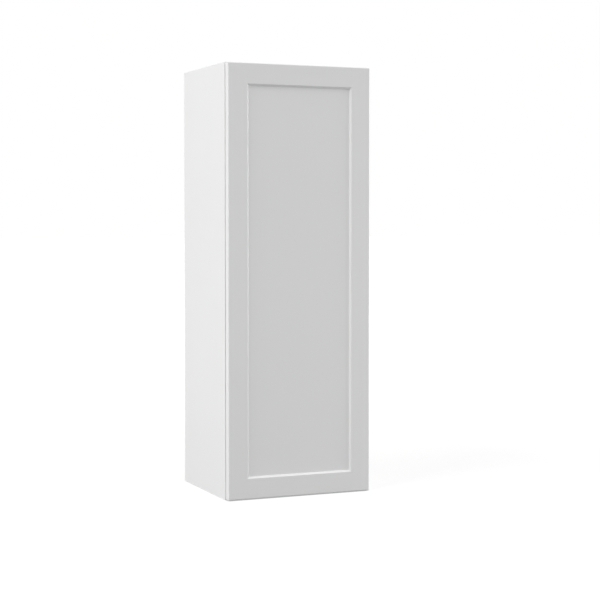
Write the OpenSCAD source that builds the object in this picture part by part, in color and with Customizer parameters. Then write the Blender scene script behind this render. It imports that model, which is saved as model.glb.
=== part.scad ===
/*
Kitchen wall cabinet with one full-overlay door, three adjustable shelves and
concealed cup hinges. Width runs along X, the front faces -Y and height runs
along Z. The origin is the middle of the underside of the closed cabinet.
*/

/* [Case] */
// Outside width of the case
case_w = 381; // [320:0.1:600]
// Outside height of the case
case_h = 1066.8; // [1000:0.1:1200]
// Depth of the case, without the door
case_d = 304.8; // [290:0.1:340]
// Thickness of the side, top and bottom panels
board_t = 16; // [15:0.1:19]
// Thickness of the band on each front edge
band_t = 1; // [0.5:0.1:2]
// Thickness of the back panel
back_t = 6.35; // [4:0.05:8]
// Depth of the grooves that hold the back panel
back_groove = 8; // [5:0.1:9]
// Room across a groove, beside the back panel
back_slack = 0.2; // [0.1:0.05:0.5]
// Room between the edges of the back panel and the groove floor
back_edge_room = 0.5; // [0.2:0.1:2]

/* [Hanging rails] */
// Thickness of the rails behind the back panel
hang_rail_t = 19.05; // [16:0.05:22]
// Height of the rails
hang_rail_h = 88.9; // [70:0.1:120]
// Radius of the wall screw holes
wall_hole_r = 2.5; // [2:0.1:4]
// Distance between the two wall screw holes of a rail
wall_hole_spacing = 200; // [100:1:250]

/* [Dowels] */
// Diameter of the beech dowels
dowel_d = 8; // [6:0.1:8]
// Length of the dowels
dowel_l = 30; // [28:0.5:34]
// Depth of a dowel hole in a side panel
dowel_side_depth = 12; // [10:0.5:13]
// Radial room round a dowel
dowel_room = 0.05; // [0.02:0.01:0.1]
// Room past the inner end of a dowel
dowel_end_room = 1; // [0.5:0.1:2]
// Distance of the first case dowel from the front
dowel_first = 45; // [40:1:60]
// Distance of the last case dowel in front of the back panel
dowel_before_back = 24.4; // [20:0.1:40]
// Distance between the two dowels at a rail end
rail_dowel_spacing = 50; // [40:1:52]

/* [System holes] */
// Distance between the holes of a row
hole_pitch = 32; // [30:0.5:34]
// Radius of a system hole
hole_r = 2.5; // [2.4:0.05:3]
// Depth of a system hole
hole_depth = 12; // [11:0.5:13]
// Distance of the front row from the front edge
hole_front = 37; // [32:0.5:40]
// Distance of the rear row in front of the back panel
hole_before_back = 18.4; // [16:0.1:30]
// Least distance from a row's last hole to the end of the panel
hole_end_margin = 60; // [50:1:80]

/* [Shelves] */
// Thickness of the shelves
shelf_t = 19; // [16:0.5:22]
// Room between a shelf and each side panel
shelf_side_room = 1.5; // [1:0.1:3]
// Distance of the shelves' front edge behind the case front
shelf_setback = 20; // [15:1:30]
// Room between a shelf and the back panel
shelf_rear_room = 2; // [1:0.1:5]
// Number of holes below the lower shelf's pins
holes_under_lower = 5; // [4:1:6]
// Number of hole pitches from the middle hinge down to the middle shelf's pins
pitches_to_middle = 2; // [2:1:3]
// Number of holes above the upper shelf's pins
holes_over_upper = 8; // [7:1:9]

/* [Shelf pins] */
// Radial room round a pin in its hole
pin_room = 0.05; // [0.02:0.01:0.1]
// Length of a pin inside the panel
pin_l = 10; // [8:0.5:11]
// Width of the pad under the shelf
pad_w = 12; // [8:0.5:14]
// Distance that the pad reaches into the cabinet
pad_reach = 9; // [7:0.5:12]
// Thickness of the pad and of the plate beside it
pad_t = 1.6; // [1.2:0.1:2.5]
// Height of the pad's top above the pin's centre
pad_rise = 3.2; // [2.8:0.1:5]
// Distance that the plate reaches below the pin's centre
pad_drop = 6; // [4:0.5:8]

/* [Door] */
// Thickness of the door
door_t = 19.05; // [18:0.05:20]
// Gap between the case front and the door's back
door_gap = 2.3; // [2.2:0.1:3]
// Part of the case front left bare beside the hinges
hinge_reveal = 2.4; // [1.4:0.1:4]
// Part of the case front left bare beside the door's free edge
free_reveal = 0.9; // [0.5:0.1:4]
// Part of the case front left bare above the door
top_reveal = 2.6; // [1:0.1:6]
// Part of the case front left bare below the door
bottom_reveal = 2.2; // [1:0.1:6]
// Width of the stiles and rails, with the bevel
frame_w = 54; // [50:0.5:70]
// Width of the bevel round the panel
bevel_w = 4.5; // [3:0.5:8]
// Depth of the bevel
bevel_depth = 3.2; // [2:0.1:4]
// Step from the foot of the bevel down to the panel
panel_step = 0.8; // [0.5:0.1:2]
// Thickness of the centre panel
panel_t = 6.35; // [5:0.05:7]
// Depth of the grooves that hold the centre panel
panel_groove = 10; // [8:0.5:10.5]
// Room behind the centre panel in its groove
panel_slack = 0.15; // [0.1:0.05:0.4]
// Room between the edges of the centre panel and the groove floor
panel_edge_room = 2; // [1:0.1:3]
// Radius of the rounded outer front edges
door_ease = 1.2; // [0.5:0.1:2.5]
// Length of the rubber spacers at the panel's edges
spacer_l = 24; // [10:1:40]
// Distance of a spacer from the corner of the panel
spacer_corner = 70; // [40:1:90]
// Radius of the bumpers
bumper_r = 4; // [3:0.5:5]
// Distance of the bumpers from the ends of the door
bumper_end = 40; // [20:1:60]

/* [Hinge cup] */
// Diameter of the cup
cup_d = 35; // [34:0.5:36]
// Distance from the cup to the door's edge
cup_tab = 3; // [3:0.1:4]
// Depth of the cup
cup_depth = 13.6; // [13.4:0.1:14]
// Wall thickness of the cup
cup_wall = 0.8; // [0.6:0.05:0.9]
// Radial room round the cup in its bore
cup_room = 0.05; // [0.02:0.01:0.1]
// Room under the cup in its bore
cup_floor_room = 0.4; // [0.2:0.1:0.8]
// Thickness of the flange on the door's back
flange_t = 1; // [0.8:0.1:1.2]
// Width of the flange round the cup
flange_w = 2; // [1.5:0.1:3]
// Distance between the two flange screws
flange_screws_apart = 45; // [44:0.5:52]
// Distance of the flange screws from the cup's centre, away from the edge
flange_screw_in = 9.5; // [8:0.5:10]
// Radius of the ears round the flange screws
flange_ear_r = 6; // [5:0.5:7]

/* [Hinge pin and arm] */
// Distance of the hinge pin from the door's edge
pin_from_edge = 7; // [6.8:0.05:7.1]
// Depth of the hinge pin behind the door's back
pin_depth = 10.2; // [10.1:0.05:10.4]
// Radius of the hinge pin
hinge_pin_r = 1.25; // [1:0.05:1.3]
// Half the length of the hinge pin
hinge_pin_half = 7.4; // [7:0.1:7.5]
// Radial room between the pin and the arm
hinge_fit = 0.05; // [0.02:0.01:0.08]
// Radius of the knuckle at the arm's tip
knuckle_r = 2.3; // [2.1:0.05:2.3]
// Half the width of the knuckle
knuckle_half = 4.6; // [4:0.1:4.7]
// Room between the knuckle and each ear
knuckle_side_room = 0.3; // [0.2:0.05:0.5]
// Thickness of the arm's sheet
arm_t = 1.6; // [1.4:0.1:1.6]
// Distance of the arm's sheet in front of the pin's centre, to its middle
arm_lead = 1.4; // [1.3:0.05:1.4]
// Half the width of the goose-neck
neck_half = 5.8; // [5:0.1:6]
// Distance of the goose-neck's turn from the pin, across the door
neck_reach = 24.4; // [22:0.1:25]
// Size of the goose-neck's chamfered turn
neck_turn = 2.5; // [1.5:0.1:3]
// Depth behind the case front where the goose-neck slopes to the plate
neck_drop = 3; // [2:0.5:5]
// Half the width of the arm's channel
channel_half = 7.5; // [7.2:0.1:8]
// Depth behind the case front where the channel starts
channel_start = 12; // [11:0.5:14]
// Depth behind the case front where the channel ends
channel_end = 60; // [56:0.5:66]

/* [Hinge plate] */
// Thickness of the plate's wings
wing_t = 2; // [1.5:0.1:2.5]
// Half the height of the wings
wing_half = 24; // [22:0.5:28]
// Half the width of the wings
wing_w_half = 6; // [5:0.5:7]
// Height of the ridge that carries the arm, above the side panel
ridge_h = 10.4; // [9:0.1:11]
// Room between the ridge and each wall of the arm's channel
ridge_room = 0.3; // [0.1:0.05:0.5]
// Distance of the adjusting screw behind the case front
adjust_screw_y = 20; // [18:0.5:24]
// Distance of the fixing screw behind the case front
fixing_screw_y = 50; // [48:0.5:52]
// Number of holes left free beyond the outer hinges
holes_past_hinge = 0; // [0:1:2]

/* [Screws] */
// Radius of the screws that hold the hinge plates
plate_screw_r = 2.4; // [2.2:0.05:2.4]
// Length of those screws in the panel
plate_screw_l = 11; // [9:0.5:11]
// Radius of the flange screws
cup_screw_r = 1.75; // [1.5:0.05:2]
// Length of the flange screws in the door
cup_screw_l = 12; // [8:0.5:14]
// Radius of the adjusting and fixing screws
arm_screw_r = 1.9; // [1.6:0.05:2]
// Radial room round a screw where it passes through sheet
screw_room = 0.15; // [0.1:0.05:0.3]
// Radial room round a screw in the hole that it bites
bite_room = 0.02; // [0.01:0.01:0.05]
// Radius of a screw head
head_r = 3.6; // [3.2:0.1:4]
// Height of a screw head
head_h = 1.6; // [1.2:0.1:2]
// Width of the slots of a head's cross recess
recess_w = 0.9; // [0.6:0.1:1.2]
// Length of the slots of a head's cross recess
recess_l = 4.2; // [3:0.1:4.6]
// Depth of a head's cross recess
recess_depth = 1; // [0.6:0.1:1]

/* [Hidden] */
$fn = 96;
eps = 0.01;
cut = 1;
white_paint = [0.93, 0.93, 0.92];
white_board = [0.95, 0.95, 0.94];
beech = [0.86, 0.72, 0.52];
nickel = [0.72, 0.73, 0.74];
steel = [0.62, 0.63, 0.65];
clear_rubber = [0.86, 0.88, 0.90];

case_half_w = case_w / 2;
inner_w = case_w - 2 * board_t;
inner_half_w = inner_w / 2;
y_shift = (door_gap + door_t - case_d) / 2;
back_y = case_d - hang_rail_t - back_t;
panel_y = band_t;
panel_d = case_d - band_t;
sides = [-1, 1];

door_w = case_w - hinge_reveal - free_reveal;
door_x = (free_reveal - hinge_reveal) / 2;
door_h = case_h - top_reveal - bottom_reveal;
door_half_w = door_w / 2;
door_back_y = -door_gap;
door_front_y = -door_gap - door_t;
panel_front = bevel_depth + panel_step;
groove_w = panel_t + panel_slack;
panel_reach = panel_groove - panel_edge_room;
door_panel_w = door_w - 2 * (frame_w - panel_reach);
door_panel_h = door_h - 2 * (frame_w - panel_reach);

rail_zs = [board_t + hang_rail_h / 2, case_h - board_t - hang_rail_h / 2];
wall_hole_xs = [-wall_hole_spacing / 2, wall_hole_spacing / 2];

holes_half = floor((case_h / 2 - hole_end_margin - hole_pitch / 2) / hole_pitch) + 1;
function hole_z(k) = case_h / 2 + hole_pitch * (k - holes_half + 0.5);
hole_ys = [hole_front, back_y - hole_before_back];
hinge_steps = holes_half - 1 - holes_past_hinge;
lower_shelf_hole = holes_under_lower;
middle_shelf_hole = holes_half - 1 - pitches_to_middle;
upper_shelf_hole = 2 * holes_half - 1 - holes_over_upper;

shelf_w = inner_w - 2 * shelf_side_room;
shelf_d = back_y - shelf_rear_room - shelf_setback;
function shelf_z(k) = hole_z(k) + pad_rise;

dowel_last = back_y - dowel_before_back;
dowel_ys = [dowel_first, (dowel_first + dowel_last) / 2, dowel_last];
dowel_hole_r = dowel_d / 2 + dowel_room;
panel_dowel_depth = dowel_l - dowel_side_depth + dowel_end_room;

cup_r = cup_d / 2;
cup_u = hinge_reveal + cup_tab + cup_r;
pin_u = hinge_reveal + pin_from_edge;
pin_v = door_gap + pin_depth;
pocket_r = cup_r - cup_wall;
ear_inner = knuckle_half + knuckle_side_room;
arm_v = pin_v + arm_lead;
neck_u = pin_u + neck_reach;
web_u = board_t + ridge_h + arm_t / 2;
narrow_end_u = pin_u + 2 * knuckle_r;
ridge_half = channel_half - arm_t - ridge_room;
hinge_zs = [for (i = [-1:1]) case_h / 2 + i * hinge_steps * hole_pitch];
plate_screw_zs = [-hole_pitch / 2, hole_pitch / 2];
flange_screw_zs = [-flange_screws_apart / 2, flange_screws_apart / 2];

// Moves what is drawn from the case front, y = 0, to the part's own frame.
module placed() {
  translate([0, y_shift, 0]) children();
}

// Moves what is drawn about the door's middle to the part's own frame.
module on_door() {
  placed() translate([door_x, 0, 0]) children();
}

// A cylinder whose axis runs along X, from x0 to x1.
module x_rod(r, x0, x1, y, z) {
  translate([x0, y, z]) rotate([0, 90, 0]) cylinder(r = r, h = x1 - x0);
}

// A cylinder whose axis runs along Y, from y0 to y1.
module y_rod(r, y0, y1, x, z) {
  translate([x, y1, z]) rotate([90, 0, 0]) cylinder(r = r, h = y1 - y0);
}

// Blind holes for shelf pins and hinge plates, bored from a side's inner face.
module system_holes() {
  for (y = hole_ys)
    for (k = [0:2 * holes_half - 1])
      x_rod(hole_r, inner_half_w - cut, inner_half_w + hole_depth, y, hole_z(k));
}

// Dowels of the four case corners on one side, or the room for them.
module case_dowels_at(r, x0, x1) {
  for (z = [board_t / 2, case_h - board_t / 2])
    for (y = dowel_ys)
      x_rod(r, x0, x1, y, z);
}

// Dowels of the hanging rails on one side, or the room for them.
module rail_dowels_at(r, x0, x1) {
  for (z = rail_zs)
    for (dz = [-rail_dowel_spacing / 2, rail_dowel_spacing / 2])
      x_rod(r, x0, x1, case_d - hang_rail_t / 2, z + dz);
}

// One side panel, drawn on the right.
module side_panel() {
  difference() {
    translate([inner_half_w, panel_y, 0]) cube([board_t, panel_d, case_h]);
    translate([inner_half_w - cut, back_y, board_t - back_groove])
      cube([back_groove + cut, back_t + back_slack, case_h - 2 * (board_t - back_groove)]);
    system_holes();
    case_dowels_at(dowel_hole_r, inner_half_w - cut, inner_half_w + dowel_side_depth);
    rail_dowels_at(dowel_hole_r, inner_half_w - cut, inner_half_w + dowel_side_depth);
  }
}

module right_side() {
  color(white_board) placed() side_panel();
}

module left_side() {
  color(white_board) placed() mirror([1, 0, 0]) side_panel();
}

// A horizontal case panel with its underside at z and its groove at groove_z.
module level_panel(z, groove_z) {
  difference() {
    translate([-inner_half_w, panel_y, z]) cube([inner_w, panel_d, board_t]);
    translate([-inner_half_w - cut, back_y, groove_z])
      cube([inner_w + 2 * cut, back_t + back_slack, back_groove + cut]);
    for (s = sides)
      mirror([s < 0 ? 1 : 0, 0, 0])
        case_dowels_at(dowel_hole_r, inner_half_w - panel_dowel_depth, inner_half_w + cut);
  }
}

module top_panel() {
  color(white_board) placed() level_panel(case_h - board_t, case_h - board_t - cut);
}

module bottom_panel() {
  color(white_board) placed() level_panel(0, board_t - back_groove);
}

// The back panel sits in grooves all round, in front of the hanging rails.
module back_panel() {
  grip = back_groove - back_edge_room;
  color(white_board) placed() difference() {
    translate([-inner_half_w - grip, back_y, board_t - grip])
      cube([inner_w + 2 * grip, back_t, case_h - 2 * (board_t - grip)]);
    for (z = rail_zs)
      for (x = wall_hole_xs)
        y_rod(wall_hole_r, back_y - cut, back_y + back_t + cut, x, z);
  }
}

// A rail that takes the wall screws, with its middle at height z.
module hanging_rail(z) {
  difference() {
    translate([-inner_half_w, case_d - hang_rail_t, z - hang_rail_h / 2])
      cube([inner_w, hang_rail_t, hang_rail_h]);
    for (x = wall_hole_xs)
      y_rod(wall_hole_r, case_d - hang_rail_t - cut, case_d + cut, x, z);
    for (s = sides)
      mirror([s < 0 ? 1 : 0, 0, 0])
        rail_dowels_at(dowel_hole_r, inner_half_w - panel_dowel_depth, inner_half_w + cut);
  }
}

module lower_hanging_rail() {
  color(beech) placed() hanging_rail(rail_zs[0]);
}

module upper_hanging_rail() {
  color(beech) placed() hanging_rail(rail_zs[1]);
}

module left_edge_band() {
  color(white_paint) placed() translate([-case_half_w, 0, 0]) cube([board_t, band_t, case_h]);
}

module right_edge_band() {
  color(white_paint) placed() translate([inner_half_w, 0, 0]) cube([board_t, band_t, case_h]);
}

module bottom_edge_band() {
  color(white_paint) placed() translate([-inner_half_w, 0, 0]) cube([inner_w, band_t, board_t]);
}

module top_edge_band() {
  color(white_paint) placed() translate([-inner_half_w, 0, case_h - board_t])
    cube([inner_w, band_t, board_t]);
}

module case_dowels() {
  start = inner_half_w + dowel_side_depth - dowel_l;
  color(beech) placed() for (s = sides)
    mirror([s < 0 ? 1 : 0, 0, 0]) case_dowels_at(dowel_d / 2, start, start + dowel_l);
}

module rail_dowels() {
  start = inner_half_w + dowel_side_depth - dowel_l;
  color(beech) placed() for (s = sides)
    mirror([s < 0 ? 1 : 0, 0, 0]) rail_dowels_at(dowel_d / 2, start, start + dowel_l);
}

// A shelf board that rests on the pins in hole k.
module shelf(k) {
  color(white_board) placed() translate([-shelf_w / 2, shelf_setback + band_t, shelf_z(k)])
    cube([shelf_w, shelf_d - band_t, shelf_t]);
}

module shelf_band(k) {
  color(white_paint) placed() translate([-shelf_w / 2, shelf_setback, shelf_z(k)])
    cube([shelf_w, band_t, shelf_t]);
}

module lower_shelf() shelf(lower_shelf_hole);
module middle_shelf() shelf(middle_shelf_hole);
module upper_shelf() shelf(upper_shelf_hole);
module lower_shelf_band() shelf_band(lower_shelf_hole);
module middle_shelf_band() shelf_band(middle_shelf_hole);
module upper_shelf_band() shelf_band(upper_shelf_hole);

// Four pins with pads, in the holes numbered k.
module shelf_pins(k) {
  z = hole_z(k);
  color(nickel) placed() for (s = sides)
    mirror([s < 0 ? 1 : 0, 0, 0])
      for (y = hole_ys) {
        x_rod(hole_r - pin_room, inner_half_w - pad_t / 2, inner_half_w + pin_l, y, z);
        translate([inner_half_w - pad_t, y - pad_w / 2, z - pad_drop])
          cube([pad_t, pad_w, pad_drop + pad_rise]);
        translate([inner_half_w - pad_reach, y - pad_w / 2, z + pad_rise - pad_t])
          cube([pad_reach, pad_w, pad_t]);
      }
}

module lower_shelf_pins() shelf_pins(lower_shelf_hole);
module middle_shelf_pins() shelf_pins(middle_shelf_hole);
module upper_shelf_pins() shelf_pins(upper_shelf_hole);

// What the rounding takes off a front edge, in the directions of frame_section.
module rounded_off() {
  difference() {
    translate([-cut, -cut]) square(door_ease + cut);
    translate([door_ease, door_ease]) circle(r = door_ease);
  }
}

// Section of a stile or rail: first along its width, then back from the front.
module frame_section() {
  difference() {
    polygon([
      [0, 0], [frame_w - bevel_w, 0], [frame_w, bevel_depth],
      [frame_w, panel_front], [frame_w - panel_groove, panel_front],
      [frame_w - panel_groove, panel_front + groove_w], [frame_w, panel_front + groove_w],
      [frame_w, door_t], [0, door_t]]);
    rounded_off();
  }
}

// Draws a section along the foot of the door, over the given half length.
module along_foot(half) {
  translate([-half, door_front_y, bottom_reveal])
    rotate([90, 0, 90]) linear_extrude(height = 2 * half) mirror([1, -1, 0]) children();
}

// Flips what is drawn at the foot of the door to its head.
module at_head() {
  translate([0, 0, 2 * bottom_reveal + door_h]) mirror([0, 0, 1]) children();
}

// A stile on the left of the door, with square ends.
module stile_bar() {
  translate([-door_half_w, door_front_y, bottom_reveal])
    linear_extrude(height = door_h) frame_section();
}

// The same stile with its ends rounded like its outer edge.
module stile() {
  difference() {
    stile_bar();
    along_foot(case_w) rounded_off();
    at_head() along_foot(case_w) rounded_off();
  }
}

// A rail at the foot of the door, coped over both stiles.
module rail() {
  difference() {
    along_foot(door_half_w - frame_w + panel_groove) frame_section();
    stile_bar();
    mirror([1, 0, 0]) stile_bar();
  }
}

module free_stile() {
  color(white_paint) on_door() stile();
}

// The hinge stile is bored for the three cups and their screws.
module hinge_stile() {
  color(white_paint) difference() {
    on_door() mirror([1, 0, 0]) stile();
    placed() at_hinges() {
      door_bore(cup_r + cup_room, cup_depth + cup_floor_room, cup_u, 0);
      for (z = flange_screw_zs)
        door_bore(cup_screw_r + bite_room, cup_screw_l + cut, cup_u + flange_screw_in, z);
    }
  }
}

module bottom_rail() {
  color(white_paint) on_door() rail();
}

module top_rail() {
  color(white_paint) on_door() at_head() rail();
}

module centre_panel() {
  color(white_paint) on_door()
    translate([-door_panel_w / 2, door_front_y + panel_front, bottom_reveal + frame_w - panel_reach])
      cube([door_panel_w, panel_t, door_panel_h]);
}

// Soft blocks that keep the centre panel in the middle of its grooves.
module panel_spacers() {
  mid_z = bottom_reveal + door_h / 2;
  color(clear_rubber) on_door() for (sz = sides)
    for (sx = sides)
      translate([0, 0, mid_z]) mirror([0, 0, sz < 0 ? 1 : 0]) mirror([sx < 0 ? 1 : 0, 0, 0]) {
        translate([door_panel_w / 2, door_front_y + panel_front, door_panel_h / 2 - spacer_corner])
          cube([panel_edge_room, panel_t, spacer_l]);
        translate([door_panel_w / 2 - spacer_corner, door_front_y + panel_front, door_panel_h / 2])
          cube([spacer_l, panel_t, panel_edge_room]);
      }
}

// Clear bumpers on the free stile that meet the case front.
module door_bumpers() {
  color(clear_rubber) placed() for (z = [bottom_reveal + bumper_end, bottom_reveal + door_h - bumper_end])
    y_rod(bumper_r, door_back_y, 0, -case_half_w + board_t / 2, z);
}

// Puts what is drawn at u, v and z = 0 at one hinge. u runs from the right
// side's outer face into the case, and v runs forward from the case front.
module at_hinge(z) {
  translate([case_half_w, 0, z]) rotate([0, 0, 180]) children();
}

module at_hinges() {
  for (z = hinge_zs) at_hinge(z) children();
}

// Room for a round piece let into the door's back at u, z.
module door_bore(r, depth, u, z) {
  y_rod(r, door_gap - cut, door_gap + depth, u, z);
}

// The stamped cup with its flange, two ears for the pin and a screw ear at each end.
module hinge_cup(z) {
  color(nickel) placed() at_hinge(z) difference() {
    union() {
      y_rod(cup_r, door_gap, door_gap + cup_depth, cup_u, 0);
      cup_flange();
    }
    difference() {
      y_rod(pocket_r, 0, door_gap + cup_depth - cup_wall, cup_u, 0);
      pin_ears();
    }
    translate([pin_u, pin_v, -hinge_pin_half])
      cylinder(r = hinge_pin_r + bite_room, h = 2 * hinge_pin_half);
    for (dz = flange_screw_zs)
      y_rod(cup_screw_r + screw_room, 0, door_gap + cut, cup_u + flange_screw_in, dz);
  }
}

module cup_flange() {
  edge_u = cup_u - cup_r;
  intersection() {
    union() {
      y_rod(cup_r + flange_w, door_gap - flange_t, door_gap, cup_u, 0);
      for (dz = flange_screw_zs)
        y_rod(flange_ear_r, door_gap - flange_t, door_gap, cup_u + flange_screw_in, dz);
      translate([cup_u + flange_screw_in - flange_ear_r, door_gap - flange_t, -flange_screws_apart / 2])
        cube([2 * flange_ear_r, flange_t, flange_screws_apart]);
    }
    translate([edge_u, 0, -flange_screws_apart])
      cube([2 * cup_d, door_gap, 2 * flange_screws_apart]);
  }
}

// Blocks in the cup that hold the ends of the hinge pin.
module pin_ears() {
  ear_d = knuckle_r - eps;
  for (s = sides)
    mirror([0, 0, s < 0 ? 1 : 0])
      translate([cup_u - cup_r, pin_v - ear_d, ear_inner])
        cube([pin_u + ear_d - cup_u + cup_r, door_gap + cup_depth - pin_v + ear_d, cup_r]);
}

module hinge_pin(z) {
  color(steel) placed() at_hinge(z) translate([pin_u, pin_v, -hinge_pin_half])
    cylinder(r = hinge_pin_r, h = 2 * hinge_pin_half);
}

// Unit direction from a to b.
function along(a, b) = (b - a) / norm(b - a);
// The same direction, turned a quarter turn to the left.
function left_of(d) = [-d[1], d[0]];
// Offset of a path's corner i to the left, at distance t, with a mitred corner.
function mitre(path, i, t) =
  let (last = len(path) - 1,
       before = along(path[max(i - 1, 0)], path[max(i, 1)]),
       after = along(path[min(i, last - 1)], path[min(i + 1, last)]),
       n = left_of(before) + left_of(after))
  path[i] + n * 2 * t / (n * n);

// Outline of a sheet of thickness t whose middle follows the path.
module sheet_section(path, t) {
  polygon(concat(
    [for (i = [0:len(path) - 1]) mitre(path, i, t / 2)],
    [for (i = [len(path) - 1:-1:0]) mitre(path, i, -t / 2)]));
}

// Draws a section in u and v as a slab of the given half height.
module slab(half) {
  translate([0, 0, -half]) linear_extrude(height = 2 * half) children();
}

// The arm: a knuckle on the pin, a goose-neck out of the cup and a channel
// that sits over the plate's ridge.
module hinge_arm(z) {
  neck = [
    [narrow_end_u - eps, arm_v], [neck_u - neck_turn, arm_v], [neck_u, arm_v - neck_turn],
    [neck_u, -neck_drop], [web_u, -channel_start], [web_u, -channel_end]];
  color(nickel) placed() at_hinge(z) difference() {
    union() {
      translate([pin_u, pin_v, -knuckle_half]) cylinder(r = knuckle_r, h = 2 * knuckle_half);
      slab(knuckle_half) sheet_section([[pin_u, arm_v], [narrow_end_u, arm_v]], arm_t);
      slab(neck_half) sheet_section(neck, arm_t);
      translate([web_u - arm_t / 2, -channel_end, -channel_half])
        cube([arm_t, channel_end - channel_start, 2 * channel_half]);
      for (s = sides)
        mirror([0, 0, s < 0 ? 1 : 0])
          translate([board_t + wing_t + ridge_room, -channel_end, channel_half - arm_t])
            cube([ridge_h - wing_t - ridge_room + arm_t / 2, channel_end - channel_start, arm_t]);
    }
    translate([pin_u, pin_v, -hinge_pin_half])
      cylinder(r = hinge_pin_r + hinge_fit, h = 2 * hinge_pin_half);
    for (y = [adjust_screw_y, fixing_screw_y])
      x_rod(arm_screw_r + screw_room, board_t, web_u + arm_t, -y, 0);
  }
}

// The plate: two wings screwed into the system holes and a ridge for the arm.
module hinge_plate(z) {
  color(nickel) placed() at_hinge(z) difference() {
    union() {
      translate([board_t, -hole_front - wing_w_half, -wing_half + wing_w_half])
        cube([wing_t, 2 * wing_w_half, 2 * (wing_half - wing_w_half)]);
      for (dz = [-wing_half + wing_w_half, wing_half - wing_w_half])
        x_rod(wing_w_half, board_t, board_t + wing_t, -hole_front, dz);
      translate([board_t, -channel_end, -ridge_half])
        cube([ridge_h, channel_end - channel_start - arm_t, 2 * ridge_half]);
    }
    for (dz = plate_screw_zs)
      x_rod(plate_screw_r + screw_room, board_t - cut, board_t + wing_t + cut, -hole_front, dz);
    for (y = [adjust_screw_y, fixing_screw_y])
      x_rod(arm_screw_r + bite_room, board_t + wing_t, board_t + ridge_h + cut, -y, 0);
  }
}

// A screw along +Z with its head above z = 0, a cross recess and shank length l.
module screw(r, l) {
  difference() {
    union() {
      translate([0, 0, -l]) cylinder(r = r, h = l + eps);
      cylinder(r = head_r, h = head_h);
    }
    for (turn = [0, 90])
      rotate([0, 0, turn])
        translate([-recess_l / 2, -recess_w / 2, head_h - recess_depth])
          cube([recess_l, recess_w, recess_depth + cut]);
  }
}

module cup_screws() {
  color(nickel) placed() at_hinges() for (dz = flange_screw_zs)
    translate([cup_u + flange_screw_in, door_gap - flange_t, dz])
      rotate([90, 0, 0]) screw(cup_screw_r, cup_screw_l);
}

module plate_screws() {
  color(nickel) placed() at_hinges() for (dz = plate_screw_zs)
    translate([board_t + wing_t, -hole_front, dz])
      rotate([0, 90, 0]) screw(plate_screw_r, plate_screw_l + wing_t);
}

module adjusting_screws() {
  depth = ridge_h - wing_t - cut + arm_t;
  color(steel) placed() at_hinges() for (y = [adjust_screw_y, fixing_screw_y])
    translate([web_u + arm_t / 2, -y, 0])
      rotate([0, 90, 0]) screw(arm_screw_r, depth);
}

module lower_hinge_cup() hinge_cup(hinge_zs[0]);
module middle_hinge_cup() hinge_cup(hinge_zs[1]);
module upper_hinge_cup() hinge_cup(hinge_zs[2]);
module lower_hinge_pin() hinge_pin(hinge_zs[0]);
module middle_hinge_pin() hinge_pin(hinge_zs[1]);
module upper_hinge_pin() hinge_pin(hinge_zs[2]);
module lower_hinge_arm() hinge_arm(hinge_zs[0]);
module middle_hinge_arm() hinge_arm(hinge_zs[1]);
module upper_hinge_arm() hinge_arm(hinge_zs[2]);
module lower_hinge_plate() hinge_plate(hinge_zs[0]);
module middle_hinge_plate() hinge_plate(hinge_zs[1]);
module upper_hinge_plate() hinge_plate(hinge_zs[2]);

left_side();
right_side();
top_panel();
bottom_panel();
back_panel();
upper_hanging_rail();
lower_hanging_rail();
left_edge_band();
right_edge_band();
top_edge_band();
bottom_edge_band();
case_dowels();
rail_dowels();
lower_shelf();
middle_shelf();
upper_shelf();
lower_shelf_band();
middle_shelf_band();
upper_shelf_band();
lower_shelf_pins();
middle_shelf_pins();
upper_shelf_pins();
hinge_stile();
free_stile();
top_rail();
bottom_rail();
centre_panel();
panel_spacers();
door_bumpers();
lower_hinge_cup();
middle_hinge_cup();
upper_hinge_cup();
lower_hinge_pin();
middle_hinge_pin();
upper_hinge_pin();
lower_hinge_arm();
middle_hinge_arm();
upper_hinge_arm();
lower_hinge_plate();
middle_hinge_plate();
upper_hinge_plate();
cup_screws();
plate_screws();
adjusting_screws();
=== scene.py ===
"""Looks of a kitchen wall cabinet: its finishes, small hardware, pale studio and camera."""

import logging
import math
from collections.abc import Callable, Iterable
from dataclasses import dataclass, replace
from enum import Enum
from typing import ClassVar

import bmesh
import bpy
from mathutils import Matrix, Quaternion, Vector


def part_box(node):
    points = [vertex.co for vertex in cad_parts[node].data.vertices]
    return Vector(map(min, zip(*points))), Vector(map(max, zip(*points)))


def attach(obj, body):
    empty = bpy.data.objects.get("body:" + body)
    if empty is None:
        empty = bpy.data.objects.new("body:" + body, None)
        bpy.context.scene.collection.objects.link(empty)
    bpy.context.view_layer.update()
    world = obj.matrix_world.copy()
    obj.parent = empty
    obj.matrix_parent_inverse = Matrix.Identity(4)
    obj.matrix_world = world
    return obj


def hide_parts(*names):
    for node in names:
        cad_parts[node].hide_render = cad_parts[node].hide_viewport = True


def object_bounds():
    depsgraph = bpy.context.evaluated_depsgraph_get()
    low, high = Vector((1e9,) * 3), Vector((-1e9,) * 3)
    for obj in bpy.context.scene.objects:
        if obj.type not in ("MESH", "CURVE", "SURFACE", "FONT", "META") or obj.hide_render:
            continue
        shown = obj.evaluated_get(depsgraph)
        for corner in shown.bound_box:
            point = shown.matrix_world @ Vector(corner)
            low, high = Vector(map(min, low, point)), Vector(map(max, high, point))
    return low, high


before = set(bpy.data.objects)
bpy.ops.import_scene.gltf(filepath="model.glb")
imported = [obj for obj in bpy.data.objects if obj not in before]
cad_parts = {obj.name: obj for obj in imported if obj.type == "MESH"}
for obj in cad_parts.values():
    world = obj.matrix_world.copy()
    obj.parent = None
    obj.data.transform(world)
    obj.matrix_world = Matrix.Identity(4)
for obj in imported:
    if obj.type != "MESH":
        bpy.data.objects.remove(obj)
CAD_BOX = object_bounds()

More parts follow.
